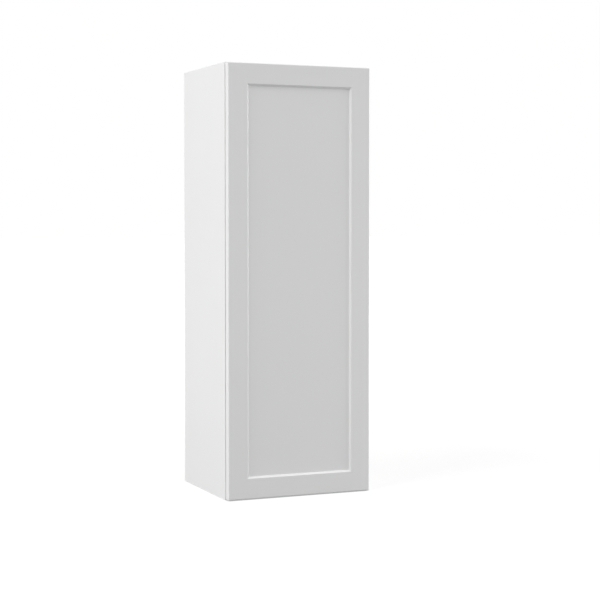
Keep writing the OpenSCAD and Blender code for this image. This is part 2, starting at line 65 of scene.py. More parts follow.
MM = 0.001
LEVELS = ("lower", "middle", "upper")
SHARP_ANGLE = math.radians(35)
JOIN_WITHIN = 0.003 * MM
log = logging.getLogger("wall_cabinet")

Socket = bpy.types.NodeSocket
Outputs = bpy.types.NodeOutputs
Ports = dict[str, str]
Rgb = tuple[float, float, float]
NUMBER = "NodeSocketFloat"
COLOUR = "NodeSocketColor"
# Where a Mix node that is set to colours has its mask and two colours, and gives the mixed one
MIX_MASK, MIX_FIRST, MIX_SECOND, MIX_RESULT = 0, 6, 7, 2
WHITE = (1.0, 1.0, 1.0, 1.0)
# A face looks along an axis where its normal is past this on that axis
SQUARE_ON = 0.7


def rgba(colour: Rgb, gain: float = 1.0) -> tuple[float, float, float, float]:
    """Gives a colour with full opacity, made lighter or darker by a gain."""
    return (*(min(1.0, part * gain) for part in colour), 1.0)


class NodeGraph:
    """A shader node tree that is filled one node at a time."""

    def __init__(self, tree: bpy.types.NodeTree) -> None:
        """Keeps the tree and empties it."""
        self.tree = tree
        tree.nodes.clear()

    def feed(self, port: Socket, value: object) -> None:
        """Fills an input socket.

        Args:
            port: The input socket.
            value: Its own value, or an output socket that is linked to it.
        """
        if isinstance(value, Socket):
            self.tree.links.new(value, port)
        else:
            port.default_value = value

    def add(self, kind: str, settings: dict | None = None, values: dict | None = None) -> bpy.types.Node:
        """Adds one node.

        Args:
            kind: Blender's name for the type of node.
            settings: Properties of the node, by name.
            values: What goes into its sockets, by name or number: a value or an output socket.

        Returns:
            The new node.
        """
        node = self.tree.nodes.new(kind)
        for name, value in (settings or {}).items():
            setattr(node, name, value)
        for key, value in (values or {}).items():
            self.feed(node.inputs[key], value)
        return node

    def maths(self, operation: str, *terms: object, clamp: bool = False) -> Socket:
        """Adds a Math node.

        Args:
            operation: Blender's name for the operation.
            terms: Its operands, each a number or an output socket.
            clamp: Whether the result is held between 0 and 1.

        Returns:
            The node's output.
        """
        settings = {"operation": operation, "use_clamp": clamp}
        return self.add("ShaderNodeMath", settings, dict(enumerate(terms))).outputs[0]

    def centred(self, value: Socket) -> Socket:
        """Moves a value that is about 0.5 on average to about 0."""
        return self.maths("SUBTRACT", value, 0.5)

    def mean(self, first: Socket, second: Socket, clamp: bool = False) -> Socket:
        """Gives the mean of two values, held between 0 and 1 where clamp is set."""
        return self.maths("MULTIPLY", self.maths("ADD", first, second), 0.5, clamp=clamp)

    def stretch(self, factors: tuple[float, float, float] = (1.0, 1.0, 1.0)) -> Socket:
        """Gives the piece's own coordinates, multiplied along each axis.

        Args:
            factors: The factor along X, Y and Z.

        Returns:
            The stretched coordinates.
        """
        values = {0: self.add("ShaderNodeTexCoord").outputs["Object"], 1: factors}
        return self.add("ShaderNodeVectorMath", {"operation": "MULTIPLY"}, values).outputs[0]

    def axes(self, kind: str) -> Outputs:
        """Splits the piece's own coordinates into X, Y and Z.

        Args:
            kind: "Object" for the place on the piece, or "Normal" for the way that the face looks.

        Returns:
            The three values, by name.
        """
        place = self.add("ShaderNodeTexCoord").outputs[kind]
        return self.add("ShaderNodeSeparateXYZ", values={0: place}).outputs

    def noise(self, place: Socket, scale: object, detail: float = 2.0) -> Socket:
        """Adds a noise texture.

        Args:
            place: The coordinates that it is read at.
            scale: Its scale, a number or an output socket.
            detail: How many finer layers it has.

        Returns:
            Its value, about 0.5 on average.
        """
        values = {"Vector": place, "Scale": scale, "Detail": detail}
        return self.add("ShaderNodeTexNoise", values=values).outputs["Fac"]

    def fade(self, value: Socket, span: tuple[float, float], levels: tuple[float, float]) -> Socket:
        """Adds a level that changes smoothly as a value grows.

        Args:
            value: The value.
            span: The values at which the change begins and ends.
            levels: The levels before it and after it.

        Returns:
            The level.
        """
        values = {"Value": value, "From Min": span[0], "From Max": span[1],
                  "To Min": levels[0], "To Max": levels[1]}
        return self.add("ShaderNodeMapRange", {"interpolation_type": "SMOOTHSTEP"}, values).outputs[0]

    def blend(self, mask: object, first: object, second: object) -> Socket:
        """Mixes two colours.

        Args:
            mask: How much of the second shows, a number or an output socket.
            first: The colour where the mask is 0.
            second: The colour where the mask is 1.

        Returns:
            The mixed colour.
        """
        values = {MIX_MASK: mask, MIX_FIRST: first, MIX_SECOND: second}
        return self.add("ShaderNodeMix", {"data_type": "RGBA"}, values).outputs[MIX_RESULT]


@dataclass
class ShaderEffect:
    """A shader node group that several finishes share. It takes and gives named sockets of set types."""

    takes: ClassVar[Ports] = {}
    gives: ClassVar[Ports] = {}
    name: str = "effect"
    tree: bpy.types.NodeTree | None = None

    def fill(self, graph: NodeGraph, given: Outputs) -> dict[str, Socket]:
        """Builds the group's inside from its inputs, and tells what goes to each output, by name."""
        raise NotImplementedError

    def group(self) -> bpy.types.NodeTree:
        """Gives the group, which is built when it is first asked for.

        Returns:
            The group's node tree.
        """
        if self.tree is None:
            self.tree = bpy.data.node_groups.new(self.name, "ShaderNodeTree")
            for way, ports in (("INPUT", self.takes), ("OUTPUT", self.gives)):
                for port, kind in ports.items():
                    self.tree.interface.new_socket(port, in_out=way, socket_type=kind)
            graph = NodeGraph(self.tree)
            given = graph.add("NodeGroupInput").outputs
            graph.add("NodeGroupOutput", values=self.fill(graph, given))
        return self.tree

    def place(self, graph: NodeGraph, **values: object) -> Outputs:
        """Places the group in a material.

        Args:
            graph: The material's graph.
            values: What goes into each input; an underscore in a name stands for a space.

        Returns:
            The group's outputs, by name.
        """
        node = graph.add("ShaderNodeGroup", {"node_tree": self.group()})
        for key, value in values.items():
            graph.feed(node.inputs[key.replace("_", " ")], value)
        return node.outputs


@dataclass
class ToneDrift(ShaderEffect):
    """Lets a colour drift a little lighter and darker over a surface."""

    takes: ClassVar[Ports] = {"Colour": COLOUR, "Amount": NUMBER, "Scale": NUMBER}
    gives: ClassVar[Ports] = {"Colour": COLOUR}
    name: str = "tone_drift"
    detail: float = 3.0

    def fill(self, graph: NodeGraph, given: Outputs) -> dict[str, Socket]:
        """Multiplies the colour by 1 plus centred noise.

        Args:
            graph: The group's graph.
            given: Its inputs, by name.

        Returns:
            The drifting colour.
        """
        broad = graph.noise(graph.stretch(), given["Scale"], self.detail)
        gain = graph.maths("MULTIPLY_ADD", graph.centred(broad), given["Amount"], 1.0)
        values = {0: given["Colour"], "Scale": gain}
        tinted = graph.add("ShaderNodeVectorMath", {"operation": "SCALE"}, values)
        return {"Colour": tinted.outputs[0]}


@dataclass
class SprayedFilm(ShaderEffect):
    """The fine ripple of sprayed paint, with a few nibs under the film."""

    takes: ClassVar[Ports] = {"Ripple Scale": NUMBER, "Nib Scale": NUMBER}
    gives: ClassVar[Ports] = {"Height": NUMBER, "Sheen Shift": NUMBER}
    name: str = "sprayed_film"
    ripple_detail: float = 1.5
    nib_reach: float = 0.09
    nib_rise: float = 0.5
    cloud_scale: float = 9.0
    cloud_detail: float = 4.0

    def fill(self, graph: NodeGraph, given: Outputs) -> dict[str, Socket]:
        """Adds sparse nibs to a soft ripple, and clouds the sheen.

        Args:
            graph: The group's graph.
            given: Its inputs, by name.

        Returns:
            The height and the roughness shift.
        """
        place = graph.stretch()
        ripple = graph.noise(place, given["Ripple Scale"], self.ripple_detail)
        nibs = graph.add("ShaderNodeTexVoronoi", values={"Vector": place, "Scale": given["Nib Scale"]})
        near = graph.fade(nibs.outputs["Distance"], (0.0, self.nib_reach), (self.nib_rise, 0.0))
        cloud = graph.noise(place, self.cloud_scale, self.cloud_detail)
        return {"Height": graph.maths("ADD", ripple, near), "Sheen Shift": graph.centred(cloud)}


@dataclass
class EdgeRub(ShaderEffect):
    """Finds the outer edges and corners that hands and packing rub."""

    takes: ClassVar[Ports] = {"Width": NUMBER, "Strength": NUMBER}
    gives: ClassVar[Ports] = {"Mask": NUMBER}
    name: str = "edge_rub"
    samples: int = 4
    patch_scale: float = 60.0
    patch_detail: float = 4.0

    def fill(self, graph: NodeGraph, given: Outputs) -> dict[str, Socket]:
        """Compares a rounded normal with the true one, and breaks the edge up with noise.

        Args:
            graph: The group's graph.
            given: Its inputs, by name.

        Returns:
            The mask.
        """
        rounded = graph.add("ShaderNodeBevel", {"samples": self.samples}, {"Radius": given["Width"]})
        shape = graph.add("ShaderNodeNewGeometry")
        normals = {0: rounded.outputs[0], 1: shape.outputs["Normal"]}
        agree = graph.add("ShaderNodeVectorMath", {"operation": "DOT_PRODUCT"}, normals)
        turn = graph.maths("SUBTRACT", 1.0, agree.outputs["Value"])
        patchy = graph.noise(graph.stretch(), self.patch_scale, self.patch_detail)
        rub = graph.maths("MULTIPLY", graph.maths("MULTIPLY", turn, patchy), given["Strength"])
        return {"Mask": graph.maths("MINIMUM", rub, 1.0)}


@dataclass
class PressedBoard(ShaderEffect):
    """Bare pressed board: pale chips and dark gaps, or fine fibres at a small size."""

    takes: ClassVar[Ports] = {"Chip": COLOUR, "Gap": COLOUR, "Scale": NUMBER}
    gives: ClassVar[Ports] = {"Colour": COLOUR, "Height": NUMBER}
    name: str = "pressed_board"
    chip_stretch: tuple[float, float, float] = (1.0, 1.0, 0.45)
    fibre_scale: float = 900.0
    fibre_detail: float = 3.0

    def fill(self, graph: NodeGraph, given: Outputs) -> dict[str, Socket]:
        """Colours each cell of a stretched cell pattern, with fine fibres over it.

        Args:
            graph: The group's graph.
            given: Its inputs, by name.

        Returns:
            The colour and the height.
        """
        place = graph.stretch(self.chip_stretch)
        cells = graph.add("ShaderNodeTexVoronoi", values={"Vector": place, "Scale": given["Scale"]})
        tone = graph.add("ShaderNodeSeparateColor", values={0: cells.outputs["Color"]})
        fibre = graph.noise(place, self.fibre_scale, self.fibre_detail)
        mask = graph.mean(tone.outputs[0], fibre, clamp=True)
        return {"Colour": graph.blend(mask, given["Gap"], given["Chip"]), "Height": mask}


@dataclass
class WoodFigure(ShaderEffect):
    """Growth rings and pores of plain sawn or peeled wood that runs along X."""

    takes: ClassVar[Ports] = {"Early": COLOUR, "Late": COLOUR, "Ring Scale": NUMBER}
    gives: ClassVar[Ports] = {"Colour": COLOUR, "Height": NUMBER}
    name: str = "wood_figure"
    ring_stretch: tuple[float, float, float] = (1.2, 9.0, 9.0)
    distortion: float = 5.0
    ring_detail: float = 3.0
    ring_detail_scale: float = 1.4
    pore_stretch: tuple[float, float, float] = (60.0, 900.0, 900.0)
    pore_depth: float = 0.5

    def fill(self, graph: NodeGraph, given: Outputs) -> dict[str, Socket]:
        """Bends bands with noise, and adds short pores along the fibres.

        Args:
            graph: The group's graph.
            given: Its inputs, by name.

        Returns:
            The colour and the height.
        """
        values = {"Vector": graph.stretch(self.ring_stretch), "Scale": given["Ring Scale"],
                  "Distortion": self.distortion, "Detail": self.ring_detail,
                  "Detail Scale": self.ring_detail_scale}
        rings = graph.add("ShaderNodeTexWave", {"wave_type": "RINGS", "rings_direction": "X"}, values)
        pores = graph.centred(graph.noise(graph.stretch(self.pore_stretch), 1.0))
        fine = graph.maths("MULTIPLY", pores, self.pore_depth)
        mask = graph.maths("ADD", rings.outputs["Fac"], fine, clamp=True)
        return {"Colour": graph.blend(mask, given["Early"], given["Late"]), "Height": mask}


@dataclass
class BrushedGrain(ShaderEffect):
    """Fine drawn lines in plated sheet metal."""

    takes: ClassVar[Ports] = {"Scale": NUMBER}
    gives: ClassVar[Ports] = {"Sheen Shift": NUMBER, "Height": NUMBER}
    name: str = "brushed_grain"
    line_stretch: tuple[float, float, float] = (0.06, 0.06, 1.0)
    cloud_scale: float = 140.0
    detail: float = 3.0

    def fill(self, graph: NodeGraph, given: Outputs) -> dict[str, Socket]:
        """Stretches noise along the metal, and adds a slow cloud of handling.

        Args:
            graph: The group's graph.
            given: Its inputs, by name.

        Returns:
            The roughness shift and the height.
        """
        lines = graph.noise(graph.stretch(self.line_stretch), given["Scale"], self.detail)
        cloud = graph.noise(graph.stretch(), self.cloud_scale, self.detail)
        return {"Sheen Shift": graph.centred(graph.mean(lines, cloud)), "Height": lines}


TONE_DRIFT = ToneDrift()
SPRAYED_FILM = SprayedFilm()
EDGE_RUB = EdgeRub()
PRESSED_BOARD = PressedBoard()
WOOD_FIGURE = WoodFigure()
BRUSHED_GRAIN = BrushedGrain()


@dataclass(frozen=True)
class Surface:
    """What changes over a finish: its colour, a shift of its roughness, and its height."""

    colour: Socket
    shift: Socket
    height: Socket


@dataclass(frozen=True)
class Finish:
    """A finish of the cabinet, which makes one node material."""

    label: str
    colour: Rgb
    roughness: float
    sheen_reach: float = 0.1
    relief_mm: float = 0.02

    def surface(self, graph: NodeGraph) -> Surface:
        """Builds what changes over the finish, in its material's node graph."""
        raise NotImplementedError

    def plain_values(self) -> dict[str, float]:
        """Gives the shader's other values, by socket name, which are the same all over."""
        return {}

    def material(self) -> bpy.types.Material:
        """Builds the finish's material.

        Returns:
            The material, with its surface wired into its shader.
        """
        material = bpy.data.materials.new(self.label)
        material.use_nodes = True
        graph = NodeGraph(material.node_tree)
        shader = graph.add("ShaderNodeBsdfPrincipled", values={
            "Base Color": rgba(self.colour), "Roughness": self.roughness, **self.plain_values()})
        surface = self.surface(graph)
        varied = graph.maths("MULTIPLY_ADD", surface.shift, self.sheen_reach, self.roughness)
        bump = graph.add("ShaderNodeBump", values={
            "Distance": self.relief_mm * MM, "Strength": 1.0, "Height": surface.height})
        graph.feed(shader.inputs["Base Color"], surface.colour)
        graph.feed(shader.inputs["Roughness"], varied)
        graph.feed(shader.inputs["Normal"], bump.outputs[0])
        graph.add("ShaderNodeOutputMaterial", values={"Surface": shader.outputs[0]})
        return material


@dataclass(frozen=True)
class DriftingFinish(Finish):
    """A finish whose colour drifts a little over the surface."""

    drift: float = 0.02
    drift_scale: float = 5.0

    def drifted(self, graph: NodeGraph) -> Socket:
        """Gives the finish's colour with its drift."""
        values = {"Colour": rgba(self.colour), "Amount": self.drift, "Scale": self.drift_scale}
        return TONE_DRIFT.place(graph, **values)["Colour"]


@dataclass(frozen=True)
class FilmFinish(DriftingFinish):
    """A smooth finish whose skin has a fine ripple."""

    ripple_scale: float = 900.0
    nib_scale: float = 500.0

    def surface(self, graph: NodeGraph) -> Surface:
        """Builds the rippled skin.

        Args:
            graph: The material's graph.

        Returns:
            Its colour, roughness shift and height.
        """
        film = SPRAYED_FILM.place(graph, Ripple_Scale=self.ripple_scale, Nib_Scale=self.nib_scale)
        return Surface(self.drifted(graph), film["Sheen Shift"], film["Height"])


@dataclass(frozen=True)
class SprayedPaint(FilmFinish):
    """Satin paint, sprayed and smooth, with softly rubbed edges."""

    sheen_reach: float = 0.18
    drift_scale: float = 4.0
    ripple_scale: float = 420.0
    nib_scale: float = 45.0
    rub_width_mm: float = 1.2
    rub: float = 0.6
    rub_gain: float = 0.93

    def surface(self, graph: NodeGraph) -> Surface:
        """Builds the painted surface, a little darker where its edges are rubbed.

        Args:
            graph: The material's graph.

        Returns:
            Its colour, roughness shift and height.
        """
        paint = super().surface(graph)
        mask = EDGE_RUB.place(graph, Width=self.rub_width_mm * MM, Strength=self.rub)["Mask"]
        return replace(paint, colour=graph.blend(mask, paint.colour, rgba(self.colour, self.rub_gain)))


@dataclass(frozen=True)
class FacedBoard(FilmFinish):
    """White faced board, bare towards the wall and, with bare_ends, at its upper and lower ends."""

    sheen_reach: float = 0.25
    relief_mm: float = 0.025
    ripple_scale: float = 700.0
    nib_scale: float = 80.0
    chip: Rgb = (0.58, 0.44, 0.28)
    gap: Rgb = (0.30, 0.19, 0.10)
    chip_scale: float = 260.0
    bare_ends: bool = False

    def surface(self, graph: NodeGraph) -> Surface:
        """Builds the faced surface, with pressed board where it is bare.

        Args:
            graph: The material's graph.

        Returns:
            Its colour, roughness shift and height.
        """
        faced = super().surface(graph)
        board = PRESSED_BOARD.place(graph, Chip=rgba(self.chip), Gap=rgba(self.gap), Scale=self.chip_scale)
        bare = self.bare_mask(graph)
        return Surface(graph.blend(bare, faced.colour, board["Colour"]),
                       graph.maths("MAXIMUM", faced.shift, bare),
                       graph.blend(bare, faced.height, board["Height"]))

    def bare_mask(self, graph: NodeGraph) -> Socket:
        """Finds the bare faces.

        Args:
            graph: The material's graph.

        Returns:
            1 on bare faces and 0 on faced ones.
        """
        way = graph.axes("Normal")
        bare = graph.maths("GREATER_THAN", way["Y"], SQUARE_ON)
        if self.bare_ends:
            ends = graph.maths("GREATER_THAN", graph.maths("ABSOLUTE", way["Z"]), SQUARE_ON)
            bare = graph.maths("MAXIMUM", bare, ends)
        return bare


@dataclass(frozen=True)
class MouldedBand(FilmFinish):
    """Extruded plastic edge band with a fine leather-like emboss."""

    sheen_reach: float = 0.12
    relief_mm: float = 0.01
    drift: float = 0.015
    drift_scale: float = 20.0
    ripple_scale: float = 1200.0
    nib_scale: float = 200.0


@dataclass(frozen=True)
class SoftRubber(FilmFinish):
    """Soft rubber or foam; clear where its clearness is over 0."""

    relief_mm: float = 0.03
    drift: float = 0.06
    drift_scale: float = 300.0
    clearness: float = 0.0
    refraction: float = 1.45

    def plain_values(self) -> dict[str, float]:
        """Gives how much light passes and how far it bends."""
        return {"Transmission Weight": self.clearness, "IOR": self.refraction}


@dataclass(frozen=True)
class BareWood(Finish):
    """Unfinished wood with its figure; plies show on its upper and lower edges where they have a size."""

    sheen_reach: float = 0.08
    relief_mm: float = 0.06
    late: Rgb = (0.42, 0.25, 0.12)
    ring_scale: float = 5.0
    ply_mm: float = 0.0

    def surface(self, graph: NodeGraph) -> Surface:
        """Builds the wood's surface.

        Args:
            graph: The material's graph.

        Returns:
            Its colour, roughness shift and height.
        """
        figure = WOOD_FIGURE.place(graph, Early=rgba(self.colour), Late=rgba(self.late),
                                   Ring_Scale=self.ring_scale)
        colour = self.plies(graph, figure["Colour"]) if self.ply_mm else figure["Colour"]
        return Surface(colour, figure["Height"], figure["Height"])

    def plies(self, graph: NodeGraph, face: Socket) -> Socket:
        """Draws stacked plies on the faces that look up or down.

        Args:
            graph: The material's graph.
            face: The colour of the other faces.

        Returns:
            The colour of all the faces.
        """
        depth = graph.maths("DIVIDE", graph.axes("Object")["Y"], self.ply_mm * MM)
        second = graph.maths("GREATER_THAN", graph.maths("PINGPONG", depth, 1.0), 0.5)
        stripe = graph.blend(second, rgba(self.colour), rgba(self.late))
        edge = graph.maths("GREATER_THAN", graph.maths("ABSOLUTE", graph.axes("Normal")["Z"]), SQUARE_ON)
        return graph.blend(edge, face, stripe)


@dataclass(frozen=True)
class PlatedMetal(DriftingFinish):
    """Nickel plate or turned steel, brighter where edges are rubbed."""

    sheen_reach: float = 0.22
    relief_mm: float = 0.003
    drift: float = 0.12
    drift_scale: float = 90.0
    grain: float = 2600.0
    rub_width_mm: float = 0.4
    rub: float = 2.5
    rub_gain: float = 1.18

    def plain_values(self) -> dict[str, float]:
        """Makes the shader a metal."""
        return {"Metallic": 1.0}

    def surface(self, graph: NodeGraph) -> Surface:
        """Builds the metal's surface.

        Args:
            graph: The material's graph.

        Returns:
            Its colour, roughness shift and height.
        """
        mask = EDGE_RUB.place(graph, Width=self.rub_width_mm * MM, Strength=self.rub)["Mask"]
        colour = graph.blend(mask, self.drifted(graph), rgba(self.colour, self.rub_gain))
        grain = BRUSHED_GRAIN.place(graph, Scale=self.grain)
        return Surface(colour, grain["Sheen Shift"], grain["Height"])


def material_of(finish: Finish) -> bpy.types.Material:
    """Gives a finish's material, which is made once."""
    return bpy.data.materials.get(finish.label) or finish.material()


DOOR_PAINT = SprayedPaint("door_paint", (0.86, 0.86, 0.86), 0.40)
CASE_BOARD = FacedBoard("case_board", (0.86, 0.86, 0.86), 0.42, bare_ends=True)
INNER_BOARD = FacedBoard("inner_board", (0.85, 0.85, 0.845), 0.46)
BACK_BOARD = FacedBoard("back_board", (0.85, 0.85, 0.845), 0.46, chip=(0.46, 0.33, 0.20),
                        gap=(0.33, 0.22, 0.12), chip_scale=900.0)
EDGE_BAND = MouldedBand("edge_band", (0.85, 0.85, 0.845), 0.40)
RAIL_PLY = BareWood("rail_plywood", (0.71, 0.54, 0.35), 0.62, late=(0.52, 0.35, 0.19), ply_mm=2.4)
BEECH = BareWood("bare_beech", (0.72, 0.50, 0.31), 0.60, late=(0.55, 0.34, 0.19), ring_scale=14.0)
NICKEL = PlatedMetal("nickel_plate", (0.66, 0.64, 0.60), 0.30)
STEEL = PlatedMetal("turned_steel", (0.50, 0.50, 0.51), 0.36, grain=3200.0)
CLEAR_RUBBER = SoftRubber("clear_rubber", (0.82, 0.84, 0.86), 0.25, clearness=0.75)
FOAM_RUBBER = SoftRubber("foam_rubber", (0.05, 0.05, 0.055), 0.85)


class Facing(Enum):
    """Which way the head of a screw or the dome of a bumper points."""

    OFF_DOOR = (0.0, 1.0, 0.0)
    INTO_CASE = (-1.0, 0.0, 0.0)

    def turn(self) -> Quaternion:
        """Gives the turn that brings +Z to this way."""
        return Vector(self.value).to_track_quat("Z", "Y")


@dataclass(frozen=True)
class ThreadForm:
    """A thread's core as a share of its crest, its pitch, and the length of the screw's point."""

    core_share: float
    pitch_mm: float
    point_mm: float


class Thread(Enum):
    """The threads of the cabinet's screws."""

    WOOD = ThreadForm(core_share=0.64, pitch_mm=1.5, point_mm=3.2)
    BOARD = ThreadForm(core_share=0.74, pitch_mm=2.1, point_mm=1.6)
    MACHINE = ThreadForm(core_share=0.84, pitch_mm=0.7, point_mm=0.5)


@dataclass(frozen=True)
class TurnedForm:
    """A closed skin about the Z axis, which rises from one ring of points to the next."""

    steps: int = 24

    def ring(self, mesh: bmesh.types.BMesh, height: float, radius: Callable[[float], float]) -> list:
        """Adds one ring of points.

        Args:
            mesh: Takes the points.
            height: The ring's height, in metres.
            radius: Gives the radius at a turn from 0 to 1, in metres.

        Returns:
            The ring's points, or one point where it closes on the axis.
        """
        if not radius(0.0):
            return [mesh.verts.new((0.0, 0.0, height))]
        points = []
        for step in range(self.steps):
            part = step / self.steps
            turn = 2 * math.pi * part
            spot = Vector((math.cos(turn), math.sin(turn), 0.0)) * radius(part)
            points.append(mesh.verts.new((spot.x, spot.y, height)))
        return points

    def skin(self, mesh: bmesh.types.BMesh, rings: list[list]) -> None:
        """Closes the skin between rings that follow each other.

        Args:
            mesh: Takes the faces.
            rings: The rings, of which the first and the last are one point each.
        """
        for low, high in zip(rings, rings[1:]):
            for step in range(self.steps):
                after = (step + 1) % self.steps
                corners = [low[step % len(low)], low[after % len(low)],
                           high[after % len(high)], high[step % len(high)]]
                mesh.faces.new(list(dict.fromkeys(corners)))


@dataclass(frozen=True)
class Screw(TurnedForm):
    """A screw along Z with its head above z = 0, a cross recess and a real thread."""

    thread: Thread = Thread.WOOD
    crest_mm: float = 1.75
    length_mm: float = 12.0
    tip_share: float = 0.15
    head_mm: float = 3.6
    head_rise_mm: float = 1.6
    rim_rise_mm: float = 0.7
    dome_rings: int = 6
    rings_per_turn: int = 6
    recess_reach_mm: float = 2.1
    recess_half_mm: float = 0.45
    recess_deep_mm: float = 1.0
    recess_foot_share: float = 0.62
    recess_spare_mm: float = 0.2

    def shape(self) -> bpy.types.Mesh:
        """Builds the screw's mesh, with the recess cut out of its head.

        Returns:
            The mesh data.
        """
        body = bmesh.new()
        self.skin(body, self.head_rings(body) + self.shank_rings(body))
        return cut_out(body, self.recess_cutter())

    def head_rings(self, mesh: bmesh.types.BMesh) -> list[list]:
        """Adds the rings of the domed head.

        Args:
            mesh: Takes the points.

        Returns:
            The rings, from the head's crown to its flat underside.
        """
        rings = [self.ring(mesh, self.head_rise_mm * MM, lambda part: 0.0)]
        dome = self.head_rise_mm - self.rim_rise_mm
        for index in range(1, self.dome_rings + 1):
            bend = math.pi / 2 * index / self.dome_rings
            height = (self.rim_rise_mm + dome * math.cos(bend)) * MM
            reach = self.head_mm * math.sin(bend) * MM
            rings.append(self.ring(mesh, height, lambda part, reach=reach: reach))
        rings.append(self.ring(mesh, 0.0, lambda part: self.head_mm * MM))
        return rings

    def shank_rings(self, mesh: bmesh.types.BMesh) -> list[list]:
        """Adds the rings of the threaded shank.

        Args:
            mesh: Takes the points.

        Returns:
            The rings, from under the head to the point.
        """
        count = math.ceil(self.length_mm / self.thread.value.pitch_mm * self.rings_per_turn)
        rings = []
        for index in range(count):
            depth = self.length_mm * index / count
            rings.append(self.ring(mesh, -depth * MM, lambda part, depth=depth: self.flank(depth, part)))
        rings.append(self.ring(mesh, -self.length_mm * MM, lambda part: 0.0))
        return rings

    def flank(self, depth: float, part: float) -> float:
        """Gives the radius of the threaded shank at one place.

        Args:
            depth: How far it is below the head, in mm.
            part: The turn round the axis, from 0 to 1.

        Returns:
            The radius, in metres.
        """
        form = self.thread.value
        left = self.length_mm - depth
        taper = min(1.0, self.tip_share + (1.0 - self.tip_share) * left / form.point_mm)
        cut_in = min(1.0, depth / (form.pitch_mm / 2))
        phase = (depth / form.pitch_mm + part) % 1.0
        crest = (1.0 - abs(2 * phase - 1.0)) * cut_in
        return self.crest_mm * (form.core_share + (1.0 - form.core_share) * crest) * taper * MM

    def recess_cutter(self) -> bmesh.types.BMesh:
        """Builds the tapered cross that is cut out of the head.

        Returns:
            The cross, which stands proud of the head.
        """
        mesh = bmesh.new()
        loops = []
        for height, share in ((self.head_rise_mm - self.recess_deep_mm, self.recess_foot_share),
                              (self.head_rise_mm + self.recess_spare_mm, 1.0)):
            reach, half = self.recess_reach_mm * share * MM, self.recess_half_mm * share * MM
            arm = [(half, half), (reach, half), (reach, -half)]
            loop = []
            for quarter in range(4):
                turn = Matrix.Rotation(-math.pi / 2 * quarter, 2)
                loop += [mesh.verts.new((*(turn @ Vector(spot)), height * MM)) for spot in arm]
            loops.append(loop)
        low, high = loops
        mesh.faces.new(low)
        mesh.faces.new(high)
        for index in range(len(low)):
            after = (index + 1) % len(low)
            mesh.faces.new((low[index], low[after], high[after], high[index]))
        bmesh.ops.recalc_face_normals(mesh, faces=mesh.faces)
        return mesh


@dataclass(frozen=True)
class Bumper(TurnedForm):
    """A domed soft bumper that stands on z = 0."""

    steps: int = 32
    radius_mm: float = 4.0
    rise_mm: float = 2.3
    rim_rise_mm: float = 0.6
    dome_rings: int = 10

    def shape(self) -> bpy.types.Mesh:
        """Builds the bumper's mesh, from its flat foot to its crown.

        Returns:
            The mesh data.
        """
        mesh = bmesh.new()
        rings = [self.ring(mesh, 0.0, lambda part: 0.0),
                 self.ring(mesh, 0.0, lambda part: self.radius_mm * MM)]
        dome = self.rise_mm - self.rim_rise_mm
        for index in range(self.dome_rings + 1):
            bend = math.pi / 2 * index / self.dome_rings
            height = (self.rim_rise_mm + dome * math.sin(bend)) * MM
            reach = self.radius_mm * math.cos(bend) * MM if index < self.dome_rings else 0.0
            rings.append(self.ring(mesh, height, lambda part, reach=reach: reach))
        self.skin(mesh, rings)
        return finished(mesh)


def finished(mesh: bmesh.types.BMesh) -> bpy.types.Mesh:
    """Turns a bmesh into mesh data with smooth curves and sharp edges.

    Args:
        mesh: The shape, which is freed.

    Returns:
        The mesh data.
    """
    bmesh.ops.recalc_face_normals(mesh, faces=mesh.faces)
    data = bpy.data.meshes.new("shape")
    mesh.to_mesh(data)
    mesh.free()
    data.shade_smooth()
    data.set_sharp_from_angle(angle=SHARP_ANGLE)
    return data


def cut_out(body: bmesh.types.BMesh, cutter: bmesh.types.BMesh) -> bpy.types.Mesh:
    """Cuts one closed shape out of another, and joins the slivers that the cut leaves.

    Args:
        body: The shape that is cut, which is freed.
        cutter: The shape of the hole, which is freed.

    Returns:
        The mesh data of what is left.
    """
    solids = [bpy.data.objects.new("blank", finished(form)) for form in (body, cutter)]
    for solid in solids:
        bpy.context.scene.collection.objects.link(solid)
    cut = solids[0].modifiers.new("cut", "BOOLEAN")
    cut.operation = "DIFFERENCE"
    cut.solver = "EXACT"
    cut.object = solids[1]
    view = bpy.context.evaluated_depsgraph_get()
    left = bmesh.new()
    left.from_object(solids[0], view)
    for solid in solids:
        bpy.data.objects.remove(solid)
    bmesh.ops.remove_doubles(left, verts=left.verts, dist=JOIN_WITHIN)
    bmesh.ops.dissolve_degenerate(left, edges=left.edges, dist=JOIN_WITHIN)
    bmesh.ops.triangulate(left, faces=left.faces)
    bmesh.ops.dissolve_degenerate(left, edges=left.edges, dist=JOIN_WITHIN)
    return finished(left)


